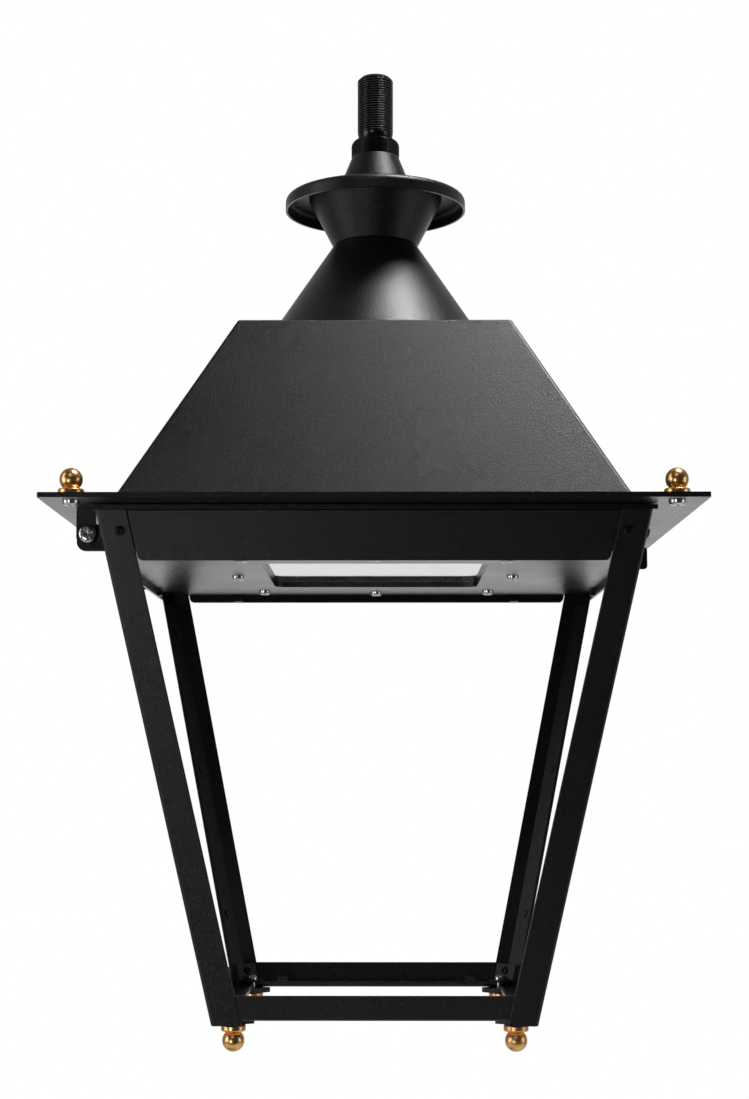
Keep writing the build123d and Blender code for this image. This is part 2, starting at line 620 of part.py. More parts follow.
closing_head_at = closing_tab_front + EAR + BODY_GAP
closing_place = Plane((CLOSING_X, closing_head_at, level(CLOSING_Z)), z_dir=(0, 1, 0))
closing_grip = closing_head_at - CLOSING_EAR_FRONT + CLOSING_SCREW_END
write_screws((CLOSING_HEAD_R, CLOSING_HEAD, CLOSING_SCREW_R), closing_grip, [closing_place], "closing_screw")

# ---------------------------------------------------------------- light unit
tray_floor = TRAY_BOTTOM + SHEET
with BuildPart() as tray:
    for height in (TRAY_BOTTOM, TRAY_TOP):
        tray_half = cage_half(height) - LEVEL_SHEET - TRAY_PLAY
        with BuildSketch(Plane.XY.offset(level(height))):
            RectangleRounded(2 * tray_half, 2 * tray_half, TRAY_CORNER)
    loft(ruled=True)
    offset(amount=-SHEET, openings=tray.faces().sort_by(Axis.Z)[-1])
    with BuildSketch(Plane.XY.offset(level(TRAY_BOTTOM))):
        RectangleRounded(2 * (WINDOW_X + SHEET), 2 * (WINDOW_Y + SHEET), WINDOW_CORNER + SHEET)
    extrude(amount=GLASS_BOTTOM - TRAY_BOTTOM)
    with BuildSketch(Plane.XY.offset(level(TRAY_BOTTOM))):
        RectangleRounded(2 * WINDOW_X, 2 * WINDOW_Y, WINDOW_CORNER)
        with Locations(*OPTIC_SCREWS):
            Circle(OPTIC_SCREW[2])
    extrude(amount=GLASS_BOTTOM - TRAY_BOTTOM, mode=Mode.SUBTRACT)
write(tray.part, "optic_plate")

with BuildPart() as glass:
    with BuildSketch(Plane.XY.offset(level(GLASS_BOTTOM))):
        RectangleRounded(2 * (WINDOW_X + GLASS_BEARING), 2 * (WINDOW_Y + GLASS_BEARING), WINDOW_CORNER)
    extrude(amount=GLASS)
write(glass.part, "window_glass")

optic_places = [Location((*place, level(TRAY_BOTTOM)), (180, 0, 0)) for place in OPTIC_SCREWS]
write_screws(OPTIC_SCREW, OPTIC_SCREW_GRIP, optic_places, "optic_screws")

with BuildPart() as heat_sink:
    with BuildSketch(Plane.XY.offset(level(tray_floor))):
        Rectangle(2 * HOUSING_FLANGE_X, 2 * HOUSING_FLANGE_Y)
        with Locations(*OPTIC_SCREWS):
            Circle(OPTIC_SCREW[2], mode=Mode.SUBTRACT)
    extrude(amount=HOUSING_FLANGE)
    with BuildSketch(Plane.XY.offset(level(tray_floor))):
        Rectangle(2 * HOUSING_X, 2 * HOUSING_Y)
    extrude(amount=HOUSING_TOP - tray_floor)
    with BuildSketch(Plane.XY.offset(level(tray_floor))):
        Rectangle(2 * (HOUSING_X - HOUSING_WALL), 2 * (HOUSING_Y - HOUSING_WALL))
    extrude(amount=HOUSING_TOP - HOUSING_BASE - tray_floor, mode=Mode.SUBTRACT)
    with BuildSketch(Plane.XY.offset(level(HOUSING_TOP))):
        fin_pitch = (2 * HOUSING_X - FIN) / (FIN_COUNT - 1)
        with GridLocations(fin_pitch, 0, FIN_COUNT, 1):
            Rectangle(FIN, 2 * HOUSING_Y)
    extrude(amount=FIN_TOP - HOUSING_TOP)
write(heat_sink.part, "heat_sink")

board_top = HOUSING_TOP - HOUSING_BASE
with BuildPart() as board:
    with BuildSketch(Plane.XY.offset(level(board_top))):
        Rectangle(2 * BOARD_X, 2 * BOARD_Y)
    extrude(amount=-BOARD)
write(board.part, "led_board")

lens_base = board_top - BOARD - LENS_PLATE
with BuildPart() as lenses:
    with BuildSketch(Plane.XY.offset(level(board_top - BOARD))):
        Rectangle(2 * BOARD_X, 2 * BOARD_Y)
    extrude(amount=-LENS_PLATE)
    with Locations((0, 0, level(lens_base))):
        with GridLocations(*LENS_PITCH, *LENS_GRID):
            Cylinder(LENS_R, LENS_RISE, align=(Align.CENTER, Align.CENTER, Align.MAX))
    fillet(lenses.faces().group_by(Axis.Z)[0].edges(), radius=LENS_ROUND)
write(lenses.part, "lens_array")

with BuildPart() as driver:
    length, width, height = DRIVER_SIZE[1], DRIVER_SIZE[0], DRIVER_SIZE[2]
    with Locations((DRIVER_AT, 0, level(tray_floor))):
        Box(width, length, height, align=(Align.CENTER, Align.CENTER, Align.MIN))
        Box(width, length + 2 * DRIVER_FOOT, SHEET, align=(Align.CENTER, Align.CENTER, Align.MIN))
write(driver.part, "driver")

with BuildPart() as terminals:
    width, length, height = TERMINALS_SIZE
    with Locations((TERMINALS_AT, 0, level(tray_floor))):
        Box(width, length, height, align=(Align.CENTER, Align.CENTER, Align.MIN))
    with Locations((TERMINALS_AT, 0, level(tray_floor + height))):
        with GridLocations(0, length / TERMINAL_WAYS, 1, TERMINAL_WAYS):
            Box(width, TERMINAL_GROOVE, TERMINAL_GROOVE, align=(Align.CENTER, Align.CENTER, Align.MAX),
                mode=Mode.SUBTRACT)
write(terminals.part, "terminal_block")
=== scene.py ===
# %% [markdown]
# Looks of a square post top lantern that hangs from a threaded stub.
#
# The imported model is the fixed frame: every sheet, post and panel of it is already the right
# shape and stays where it is. This file adds a camera, a studio, a finish for each material,
# and the fine pieces that were left out of the solids, such as the thread and the screw heads.

# %% load the frame
import json
import math

import bmesh
import bpy
import numpy as np
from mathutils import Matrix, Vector


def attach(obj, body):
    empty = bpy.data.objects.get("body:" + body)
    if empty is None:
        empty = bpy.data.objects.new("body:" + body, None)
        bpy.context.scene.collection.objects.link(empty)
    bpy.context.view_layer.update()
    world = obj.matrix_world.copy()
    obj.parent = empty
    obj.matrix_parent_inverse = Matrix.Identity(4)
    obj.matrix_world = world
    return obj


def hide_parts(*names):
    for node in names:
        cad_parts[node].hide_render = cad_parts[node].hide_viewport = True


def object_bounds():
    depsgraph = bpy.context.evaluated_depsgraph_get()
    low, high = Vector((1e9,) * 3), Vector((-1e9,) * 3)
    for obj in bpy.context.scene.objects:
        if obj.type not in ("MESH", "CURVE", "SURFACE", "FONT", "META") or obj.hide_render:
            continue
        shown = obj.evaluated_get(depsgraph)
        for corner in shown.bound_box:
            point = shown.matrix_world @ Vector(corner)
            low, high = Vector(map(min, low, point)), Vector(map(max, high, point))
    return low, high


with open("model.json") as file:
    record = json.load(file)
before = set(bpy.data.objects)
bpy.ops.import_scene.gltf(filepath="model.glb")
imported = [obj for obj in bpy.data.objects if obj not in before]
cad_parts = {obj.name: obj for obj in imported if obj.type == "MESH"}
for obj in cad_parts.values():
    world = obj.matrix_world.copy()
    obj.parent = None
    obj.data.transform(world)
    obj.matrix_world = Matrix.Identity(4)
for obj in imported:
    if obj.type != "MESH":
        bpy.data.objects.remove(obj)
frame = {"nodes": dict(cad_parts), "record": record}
cad_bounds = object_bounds()

# %% [markdown]
# All heights on the lantern are easier to read from the underside of the roof flange. The
# origin is up on the stub, so one helper moves a height in millimetres into the frame.

# %% heights in the frame
UNDERSIDE = -319.3
BRIM_HEIGHT = 250.8


def level(height_mm):
    """A height above the flange underside in millimetres, as z in metres."""
    return (UNDERSIDE + height_mm) / 1000


print("flange underside", round(level(0), 4), "chimney brim", round(level(BRIM_HEIGHT), 4))

# %% [markdown]
# The camera stands 1.43 m in front of the stub's axis, below the lantern's middle, and looks up
# by six degrees, so the underside of the flange shows. The uprights lean as they do in the
# picture because the camera is tilted, not shifted.

# %% camera
IMAGE_WIDTH = 749
FOCAL_PIXELS = 1982.0
SENSOR_MM = 36.0
CAMERA_PLACE = (0.00724, -1.43256, level(-163.1))
CAMERA_TILT, CAMERA_PAN = 0.1061, 0.0055

camera_data = bpy.data.cameras.new("camera")
camera_data.sensor_fit = "HORIZONTAL"
camera_data.sensor_width = SENSOR_MM
camera_data.lens = FOCAL_PIXELS / IMAGE_WIDTH * SENSOR_MM
camera = bpy.data.objects.new("camera", camera_data)
camera.location = CAMERA_PLACE
camera.rotation_euler = (math.pi / 2 + CAMERA_TILT, 0, CAMERA_PAN)
bpy.context.scene.collection.objects.link(camera)
bpy.context.scene.camera = camera
bpy.context.scene.view_settings.view_transform = "Standard"
print("lens", round(camera_data.lens, 2), "mm")

# %% [markdown]
# Nodes are wired in the same few ways throughout, so helpers make them, one node each. A value
# given to a helper is a number to type on the socket, or another node's output to link to it.
# The first helper tells the two apart.

# %% node helpers
def feed(tree, socket, value):
    """Link another node's output to a socket, or type a number on it."""
    if isinstance(value, bpy.types.NodeSocket):
        tree.links.new(value, socket)
    else:
        socket.default_value = value


def math_node(tree, operation, *values):
    """The result of one operation on its values."""
    node = tree.nodes.new("ShaderNodeMath")
    node.operation = operation
    for socket, value in zip(node.inputs, values):
        feed(tree, socket, value)
    return node.outputs["Value"]


def range_node(tree, value, from_range, to_range=(0.0, 1.0), easing="LINEAR"):
    """A value moved from one range into another, and held at its ends."""
    node = tree.nodes.new("ShaderNodeMapRange")
    node.interpolation_type = easing
    feed(tree, node.inputs["Value"], value)
    for label, end in zip(("From Min", "From Max", "To Min", "To Max"), (*from_range, *to_range)):
        feed(tree, node.inputs[label], end)
    return node.outputs["Result"]


def noise_node(tree, scale, detail, place):
    """A noise over the given coordinates."""
    node = tree.nodes.new("ShaderNodeTexNoise")
    node.inputs["Scale"].default_value = scale
    node.inputs["Detail"].default_value = detail
    tree.links.new(place, node.inputs["Vector"])
    return node.outputs["Fac"]


def color_mix(tree, factor, first, second):
    """The first colour where the factor is 0, the second where it is 1."""
    node = tree.nodes.new("ShaderNodeMix")
    node.data_type = "RGBA"
    for label, value in (("Factor", factor), ("A", first), ("B", second)):
        feed(tree, node.inputs[label], value)
    return node.outputs["Result"]


helpers = (feed, math_node, range_node, noise_node, color_mix)
print("node helpers", [helper.__name__ for helper in helpers])

# %% [markdown]
# The studio is plain: a pale floor well below the lantern, a white surround, and soft lamps.
# The camera and the glass see the surround as pure white, and so do mirror rays that leave
# towards the wall behind the lantern. As a light the surround is brightest at that wall and
# fades all round towards the front, as in a room with one white wall, so the faces turned to
# the camera stay dark and the ones that graze the wall turn pale.

# %% surround
# how bright the surround is, by the cosine of the angle from the middle of the wall
SURROUND = [(-1.0, 0.03), (-0.3, 0.05), (0.1, 0.14), (0.6, 0.24), (0.92, 0.45), (0.99, 1.0)]
WALL_DIRECTION = (0.045, 0.995, -0.08)
# mirror rays see the wall whiten between these two cosines
MIRRORED_WALL = (0.94, 0.99)

world = bpy.data.worlds.new("surround")
bpy.context.scene.world = world
world.use_nodes = True
studio = world.node_tree
studio.nodes.clear()

towards_wall = studio.nodes.new("ShaderNodeVectorMath")
towards_wall.operation = "DOT_PRODUCT"
towards_wall.inputs[1].default_value = WALL_DIRECTION
direction = studio.nodes.new("ShaderNodeTexCoord").outputs["Generated"]
studio.links.new(direction, towards_wall.inputs[0])
wall_cosine = towards_wall.outputs["Value"]

room = studio.nodes.new("ShaderNodeValToRGB")
while len(room.color_ramp.elements) < len(SURROUND):
    room.color_ramp.elements.new(1.0)
for element, (cosine, light) in zip(room.color_ramp.elements, SURROUND):
    element.position = 0.5 + 0.5 * cosine
    element.color = (light, light, light, 1)
ramp_place = math_node(studio, "MULTIPLY_ADD", wall_cosine, 0.5, 0.5)
studio.links.new(ramp_place, room.inputs["Fac"])

path = studio.nodes.new("ShaderNodeLightPath")
seen = math_node(studio, "MAXIMUM",
                 path.outputs["Is Camera Ray"], path.outputs["Is Transmission Ray"])
mirrored = math_node(studio, "MULTIPLY", path.outputs["Is Glossy Ray"],
                     range_node(studio, wall_cosine, MIRRORED_WALL))
strength = studio.nodes.new("ShaderNodeMix")
strength.inputs["B"].default_value = 1.0
studio.links.new(math_node(studio, "MAXIMUM", seen, mirrored), strength.inputs["Factor"])
studio.links.new(room.outputs["Color"], strength.inputs["A"])
backdrop = studio.nodes.new("ShaderNodeBackground")
backdrop.inputs["Color"].default_value = (1, 1, 1, 1)
studio.links.new(strength.outputs["Result"], backdrop.inputs["Strength"])
world_output = studio.nodes.new("ShaderNodeOutputWorld")
studio.links.new(backdrop.outputs["Background"], world_output.inputs["Surface"])
print("surround lights from", SURROUND[0][1], "to", SURROUND[-1][1])

# %% [markdown]
# The floor is one flat quad. It lies below the camera's view, so the picture shows the lantern
# on white, and other views still find a floor with a soft shadow. It reaches less far to the
# front than to the back, because a white floor there would light the chimney from below.

# %% floor
FLOOR_DROP = 0.62
FLOOR_HALF = 1.6
# its corners, in shares of half its width
FLOOR_CORNERS = [[-1, -0.5], [1, -0.5], [1, 1], [-1, 1]]
FLOOR_WHITE = 0.86
FLOOR_ROUGHNESS = 0.9

floor_z = cad_bounds[0][2] - FLOOR_DROP
floor_mesh = bpy.data.meshes.new("floor")
floor_corners = np.array(FLOOR_CORNERS) * FLOOR_HALF
floor_mesh.from_pydata([(x, y, floor_z) for x, y in floor_corners], [], [(0, 1, 2, 3)])
floor = bpy.data.objects.new("floor", floor_mesh)
bpy.context.scene.collection.objects.link(floor)

floor_paper = bpy.data.materials.new("floor_paper")
floor_paper.use_nodes = True
paper_shader = floor_paper.node_tree.nodes["Principled BSDF"]
paper_shader.inputs["Base Color"].default_value = (FLOOR_WHITE, FLOOR_WHITE, FLOOR_WHITE, 1)
paper_shader.inputs["Roughness"].default_value = FLOOR_ROUGHNESS
floor_mesh.materials.append(floor_paper)
print("floor at", round(floor_z, 3))

# %% [markdown]
# Soft lamps. The main one hangs overhead and to the right: it draws the broad highlight on the
# cone and the roof's gradient from dark to grey. Three at the sides draw the flanks of the
# spun chimney. Two at the front, one high and one low, light the faces turned to the camera.

# %% lamps
# a point on the axis, inside the roof
LAMP_AIM = (0, 0, level(60))
# place and size in metres, and watts
LAMPS = {
    "overhead_lamp": ((0.6, -0.16, 1.5), (0.5, 0.7), 33),
    "left_box": ((-1.7, -0.7, -0.45), (0.9, 1.0), 6),
    "left_strip": ((-1.8, -0.5, 0.6), (0.5, 1.2), 3.4),
    "right_box": ((1.8, -0.6, -0.45), (0.7, 1.0), 3),
    "front_soft": ((-0.3, -2.1, 1.3), (0.9, 0.9), 3),
    "front_fill": ((-0.9, -2.1, -0.95), (0.6, 0.6), 5),
}


def soft_lamp(name, place, size, watts):
    """An area lamp at a place, turned to face the roof."""
    data = bpy.data.lights.new(name, "AREA")
    data.shape = "RECTANGLE"
    data.size, data.size_y = size
    data.energy = watts
    lamp = bpy.data.objects.new(name, data)
    lamp.location = place
    facing = Vector(LAMP_AIM) - Vector(place)
    lamp.rotation_euler = facing.to_track_quat("-Z", "Y").to_euler()
    bpy.context.scene.collection.objects.link(lamp)


for lamp_name, lamp_settings in LAMPS.items():
    soft_lamp(lamp_name, *lamp_settings)

# %% [markdown]
# Shared effects are node groups. Powder coat has a fine orange-peel grain: a noise about two
# thirds of a millimetre across that tilts the surface slightly. A much wider noise makes its
# gloss uneven, and both change its shade a little, as in paint that is thicker in places.

# %% powder coat grain group
GRAIN_PER_METRE = 1500
PATCHES_PER_METRE = 14
GRAIN_SHARE, PATCH_SHARE = 0.7, 0.3
PATCH_CONTRAST = (0.3, 0.7)
GRAIN_HEIGHT = 0.0003


def group_with(name, inputs, outputs):
    """An empty node group with named sockets; returns it with its input and output nodes."""
    group = bpy.data.node_groups.new(name, "ShaderNodeTree")
    for label, kind, value in inputs:
        socket = group.interface.new_socket(label, in_out="INPUT", socket_type=kind)
        socket.default_value = value
    for label, kind in outputs:
        group.interface.new_socket(label, in_out="OUTPUT", socket_type=kind)
    return group, group.nodes.new("NodeGroupInput"), group.nodes.new("NodeGroupOutput")


grain, grain_in, grain_out = group_with(
    "paint_grain",
    [("Dark", "NodeSocketColor", (0.02, 0.02, 0.02, 1)),
     ("Light", "NodeSocketColor", (0.05, 0.05, 0.05, 1)),
     ("Smooth", "NodeSocketFloat", 0.3),
     ("Rough", "NodeSocketFloat", 0.5),
     ("Bump", "NodeSocketFloat", 0.2)],
    [("Color", "NodeSocketColor"),
     ("Roughness", "NodeSocketFloat"),
     ("Normal", "NodeSocketVector")])
grain_place = grain.nodes.new("ShaderNodeTexCoord").outputs["Object"]
fine = noise_node(grain, GRAIN_PER_METRE, 2, grain_place)
patches = noise_node(grain, PATCHES_PER_METRE, 3, grain_place)
lightness = math_node(grain, "MULTIPLY_ADD", fine, GRAIN_SHARE,
                      math_node(grain, "MULTIPLY", patches, PATCH_SHARE))
grain_shade = color_mix(grain, lightness, grain_in.outputs["Dark"], grain_in.outputs["Light"])
grain_gloss = range_node(grain, patches, PATCH_CONTRAST,
                         (grain_in.outputs["Smooth"], grain_in.outputs["Rough"]))
bump = grain.nodes.new("ShaderNodeBump")
bump.inputs["Distance"].default_value = GRAIN_HEIGHT
grain.links.new(grain_in.outputs["Bump"], bump.inputs["Strength"])
grain.links.new(fine, bump.inputs["Height"])
grain.links.new(grain_shade, grain_out.inputs["Color"])
grain.links.new(grain_gloss, grain_out.inputs["Roughness"])
grain.links.new(bump.outputs["Normal"], grain_out.inputs["Normal"])
print("paint grain group has", len(grain.nodes), "nodes")

# %% [markdown]
# A finish places the group in its own material, where the Principled shader stays. Numbers that
# are the same all over a surface are typed on the shader's own sockets. The stub and its nut
# are different: their shade follows the distance from the axis. On the corners of the nut the
# black is rubbed off down to steel. On the crests of the thread it is rubbed off too, and the
# paler crests are also a painted highlight for the light lines that the flanks catch from above.

# %% ways to make a finish
SCUFFS_PER_METRE = 420


def new_material(name):
    """A material with nodes; returns it with its node tree and its Principled shader."""
    material = bpy.data.materials.new(name)
    material.use_nodes = True
    return material, material.node_tree, material.node_tree.nodes["Principled BSDF"]


def grained_material(name, dark, light, smooth, rough, bump_strength, **sockets):
    """A finish made of the paint grain group and a Principled shader."""
    material, tree, shader = new_material(name)
    effect = tree.nodes.new("ShaderNodeGroup")
    effect.node_tree = grain
    settings = {"Dark": (*dark, 1), "Light": (*light, 1), "Smooth": smooth, "Rough": rough,
                "Bump": bump_strength}
    for label, value in settings.items():
        effect.inputs[label].default_value = value
    tree.links.new(effect.outputs["Color"], shader.inputs["Base Color"])
    tree.links.new(effect.outputs["Roughness"], shader.inputs["Roughness"])
    tree.links.new(effect.outputs["Normal"], shader.inputs["Normal"])
    for label, value in sockets.items():
        shader.inputs[label.replace("_", " ")].default_value = value
    return material


def wear_and_highlight_material(name, black, bare_and_lit, roughness, radii_mm, shine):
    """Black steel, paler by a noise times a mask that rises between two radii; on a thread the
    paler crests are rubbed-off paint and also a painted highlight.
    """
    material, tree, shader = new_material(name)
    place = tree.nodes.new("ShaderNodeTexCoord").outputs["Object"]
    flat_place = tree.nodes.new("ShaderNodeVectorMath")
    flat_place.operation = "MULTIPLY"
    flat_place.inputs[1].default_value = (1, 1, 0)
    tree.links.new(place, flat_place.inputs[0])
    from_axis = tree.nodes.new("ShaderNodeVectorMath")
    from_axis.operation = "LENGTH"
    tree.links.new(flat_place.outputs["Vector"], from_axis.inputs[0])
    # paler towards the outer radii: paint rubbed off down to steel, and on a thread also a
    # painted highlight that stands in for the light lines its flanks catch from the lamp above
    wear_and_highlight_mask = range_node(tree, from_axis.outputs["Value"],
                            [radius / 1000 for radius in radii_mm], easing="SMOOTHSTEP")
    wear_and_highlight = math_node(tree, "MULTIPLY", wear_and_highlight_mask, noise_node(tree, SCUFFS_PER_METRE, 3, place))
    tree.links.new(color_mix(tree, wear_and_highlight, (*black, 1), (*bare_and_lit, 1)), shader.inputs["Base Color"])
    tree.links.new(range_node(tree, wear_and_highlight, (0.0, 1.0), roughness), shader.inputs["Roughness"])
    shader.inputs["Specular IOR Level"].default_value = shine
    return material


print("ways to make a finish", [way.__name__ for way in (grained_material, wear_and_highlight_material)])

# %% [markdown]
# The finishes of this lantern. Powder coat covers all the sheet metal. The finials are bright
# brass. Most screws are zinc plated, and those in the posts and in the gussets of the feet are
# blackened.

# %% finishes
# a grained finish has its darkest and lightest colour, two roughnesses and its grain's strength;
# a rubbed one has its black and its paler colour, two roughnesses, two radii and its shine;
# on the thread the paler colour is also a painted highlight
satin_black = grained_material(
    "satin_black", (0.004, 0.004, 0.0045), (0.009, 0.009, 0.0095), 0.25, 0.33, 0.8,
    Specular_IOR_Level=0.45, Coat_Weight=0.1, Coat_Roughness=0.28)
gloss_black = grained_material(
    "gloss_black", (0.003, 0.003, 0.003), (0.008, 0.008, 0.008), 0.24, 0.36, 0.15,
    Specular_IOR_Level=0.45)
# on the thread the paler crests are rubbed-off paint and also a painted highlight, standing in
# for the light lines that its flanks catch from the lamp above
worn_and_highlit_thread = wear_and_highlight_material(
    "worn_and_highlit_thread", (0.001, 0.001, 0.001), (0.1, 0.1, 0.1), (0.2, 0.3), (13.02, 13.22), 0.5)
worn_nut = wear_and_highlight_material(
    "worn_nut", (0.001, 0.001, 0.001), (0.04, 0.04, 0.04), (0.2, 0.4), (15.6, 17.7), 0.15)
screw_black = grained_material(
    "screw_black", (0.002, 0.002, 0.002), (0.006, 0.006, 0.006), 0.3, 0.42, 0.08,
    Specular_IOR_Level=0.3)
polished_brass = grained_material(
    "polished_brass", (0.96, 0.50, 0.165), (1.0, 0.62, 0.27), 0.22, 0.38, 0.04, Metallic=1)
plated_steel = grained_material(
    "plated_steel", (0.55, 0.55, 0.57), (0.80, 0.80, 0.81), 0.12, 0.26, 0.03, Metallic=1)
foam_black = grained_material(
    "foam_black", (0.012, 0.012, 0.012), (0.035, 0.035, 0.035), 0.8, 0.95, 0.9)
cast_aluminium = grained_material(
    "cast_aluminium", (0.42, 0.43, 0.44), (0.62, 0.63, 0.64), 0.35, 0.5, 0.3, Metallic=1)
white_board = grained_material(
    "white_board", (0.74, 0.74, 0.72), (0.86, 0.86, 0.84), 0.4, 0.55, 0.08)
pale_case = grained_material(
    "pale_case", (0.58, 0.59, 0.6), (0.72, 0.73, 0.73), 0.4, 0.5, 0.1)
clear_glass = grained_material(
    "clear_glass", (0.97, 0.98, 0.98), (1, 1, 1), 0.01, 0.03, 0.0, Transmission_Weight=1)
clear_lens = grained_material(
    "clear_lens", (0.95, 0.97, 0.98), (1, 1, 1), 0.03, 0.08, 0.0, Transmission_Weight=1)

FINISH_OF_SLOT = {
    "satin_black": satin_black, "gloss_black": gloss_black, "black_screws": screw_black,
    "brass": polished_brass, "bright_screws": plated_steel, "gasket": foam_black,
    "window": clear_glass, "lens": clear_lens, "bare_aluminium": cast_aluminium,
    "board": white_board, "driver_case": pale_case, "terminals": pale_case,
}
for part in frame["record"]["subparts"]:
    for material_slot in frame["nodes"][part["node"]].material_slots:
        material_slot.material = FINISH_OF_SLOT[part["material_slot"]]
print("finishes", len(FINISH_OF_SLOT))

# %% [markdown]
# Fine pieces come next. Each is a surface worked out as whole arrays: a grid of points, rows
# along a profile and columns around an axis, and four neighbours make one face. One helper
# turns such grids into a piece, merges the points where a grid closes, keeps hard corners
# sharp, and hides the plain solid that the piece stands for.

# %% grids into pieces
CREASE_DEGREES = 38
MERGE_METRES = 1e-6


def grid_faces(rows, columns):
    """Quads over a grid that closes around; a profile that runs down its outer side faces out."""
    index = np.arange(rows * columns).reshape(rows, columns)
    index = np.hstack([index, index[:, :1]])
    corners = [index[:-1, :-1], index[1:, :-1], index[1:, 1:], index[:-1, 1:]]
    return np.stack(corners, axis=-1).reshape(-1, 4)


def surface_piece(name, grids, body, finish, stands_for):
    """One piece from several grids of points in metres, each of shape rows, columns, 3."""
    points, faces, count = [], [], 0
    for grid in grids:
        rows, columns = grid.shape[:2]
        points.append(grid.reshape(-1, 3))
        faces.append(grid_faces(rows, columns) + count)
        count += rows * columns
    mesh = bpy.data.meshes.new(name)
    mesh.from_pydata(np.vstack(points).tolist(), [], np.vstack(faces).tolist())
    shape = bmesh.new()
    shape.from_mesh(mesh)
    bmesh.ops.remove_doubles(shape, verts=shape.verts, dist=MERGE_METRES)
    bmesh.ops.recalc_face_normals(shape, faces=shape.faces)
    shape.to_mesh(mesh)
    shape.free()
    mesh.shade_smooth()
    mesh.set_sharp_from_angle(angle=math.radians(CREASE_DEGREES))
    piece = bpy.data.objects.new(name, mesh)
    bpy.context.scene.collection.objects.link(piece)
    mesh.materials.append(finish)
    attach(piece, body)
    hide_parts(stands_for)
    print(name, len(mesh.polygons), "faces")


print("hard corners from", CREASE_DEGREES, "degrees")

# %% [markdown]
# The stub carries a real pipe thread with a pitch of 1.814 mm. The radius at an angle and a
# height is the crest radius less the thread depth times a rounded wave, and the wave moves up
# by one pitch per turn, which makes it a screw and not a stack of rings. The wave fades out at
# its lower end, where the die ran off, and the chamfer at the top cuts across it.

# %% threaded stub
THREAD_CREST = 13.22
THREAD_DEPTH = 1.15
THREAD_PITCH = 1.814
THREAD_FROM, THREAD_TO = 299.2, 342.7
GROOVE_SHARPNESS = 1.6
FADE_HEIGHT = 1.5
FADE_STEP = 0.25
STUB_CHAMFER = 2.7
STEPS_PER_PITCH = 12
TURN_STEPS = 96
# height and radius below the thread: its last step, the plain pipe, the bore and its chamfer
PLAIN_PROFILE = np.array([(299.0, 12.9), (298.6, 12.6), (294.0, 12.6), (118.0, 12.6),
                          (118.0, 9.0), (341.9, 9.0), (342.7, 9.6)])


def turned(radius, height):
    """Points of a profile turned about z: x = r cos a, y = r sin a. Radius may vary around."""
    angle = np.linspace(0, 2 * math.pi, TURN_STEPS, endpoint=False)[None, :]
    radius = np.broadcast_to(radius, (len(height), TURN_STEPS))
    z = np.broadcast_to((UNDERSIDE + np.asarray(height))[:, None], (len(height), TURN_STEPS))
    return np.stack([radius * np.cos(angle), radius * np.sin(angle), z], axis=-1) / 1000


def threaded_radius(height, angle):
    """Crest minus depth times a rounded wave of height over pitch less angle over a full turn."""
    wave = 0.5 - 0.5 * np.cos(2 * math.pi * (height / THREAD_PITCH) - angle)
    fade = np.clip((height - THREAD_FROM) / FADE_HEIGHT, 0, 1)
    groove = THREAD_DEPTH * fade * wave ** GROOVE_SHARPNESS + FADE_STEP * (1 - fade)
    chamfered = THREAD_CREST - np.clip(height - (THREAD_TO - STUB_CHAMFER), 0, None)
    return np.minimum(THREAD_CREST - groove, chamfered)


steps = int((THREAD_TO - THREAD_FROM) / THREAD_PITCH * STEPS_PER_PITCH)
thread_height = np.linspace(THREAD_TO, THREAD_FROM, steps)
around = np.linspace(0, 2 * math.pi, TURN_STEPS, endpoint=False)
thread_radius = threaded_radius(thread_height[:, None], around[None, :])
plain_radius = np.broadcast_to(PLAIN_PROFILE[:, 1:], (len(PLAIN_PROFILE), TURN_STEPS))
stub_height = np.concatenate([thread_height, PLAIN_PROFILE[:, 0], thread_height[:1]])
stub_radius = np.vstack([thread_radius, plain_radius, thread_radius[:1]])
surface_piece("threaded_stub", [turned(stub_radius, stub_height)],
              "roof", worn_and_highlit_thread, "hanging_stub")

# %% [markdown]
# The lock nut is a hexagon under a dome. At an angle a from the middle of a side a hexagon's
# radius is half its width over flats divided by cos a. The dome is a quarter of an ellipse that
# starts just outside the bore and reaches the corners 4.4 mm lower; the smaller radius wins.

# %% lock nut
NUT_FLATS = 30.6
NUT_BORE_R = 12.65
NUT_BOTTOM, NUT_TOP = 281.8, 294.5
DOME_RIM = 0.4
DOME_DROP = 4.4
NUT_ROWS = 40


def nut_radius(height, angle):
    """The smaller of the hexagon's radius at an angle and the dome's radius at a height."""
    from_side = np.mod(angle, math.pi / 3) - math.pi / 6
    hexagon = NUT_FLATS / 2 / np.cos(from_side)
    drop = np.clip((NUT_TOP - height) / DOME_DROP, 0, 1)
    corner = NUT_FLATS / math.sqrt(3)
    dome_start = NUT_BORE_R + DOME_RIM
    dome = dome_start + (corner - dome_start) * np.sqrt(1 - (1 - drop) ** 2)
    return np.minimum(hexagon, dome)


nut_height = NUT_TOP - (NUT_TOP - NUT_BOTTOM) * np.linspace(0, 1, NUT_ROWS) ** 2
nut_side = nut_radius(nut_height[:, None], around[None, :])
nut_bore = np.full((1, TURN_STEPS), NUT_BORE_R)
nut_profile = np.vstack([nut_bore, nut_side, nut_bore, nut_bore])
nut_rows = np.concatenate([[NUT_TOP], nut_height, [NUT_BOTTOM, NUT_TOP]])
surface_piece("domed_lock_nut", [turned(nut_profile, nut_rows)],
              "roof", worn_nut, "stub_lock_nut")

# %% [markdown]
# The screws have pan heads with a cross recess. The head is a height over a disc: a flat dome
# that falls steeply at its rim, less the depth of the cross wherever a point lies inside one of
# its two arms. Such a disc, a flat underside and a shank make one closed grid around the axis.

# %% pan head screws
HEAD_RINGS = 24
HEAD_TURNS = 64
# below 1, so that the rings lie closer together towards the rim
RING_SPREAD = 0.9
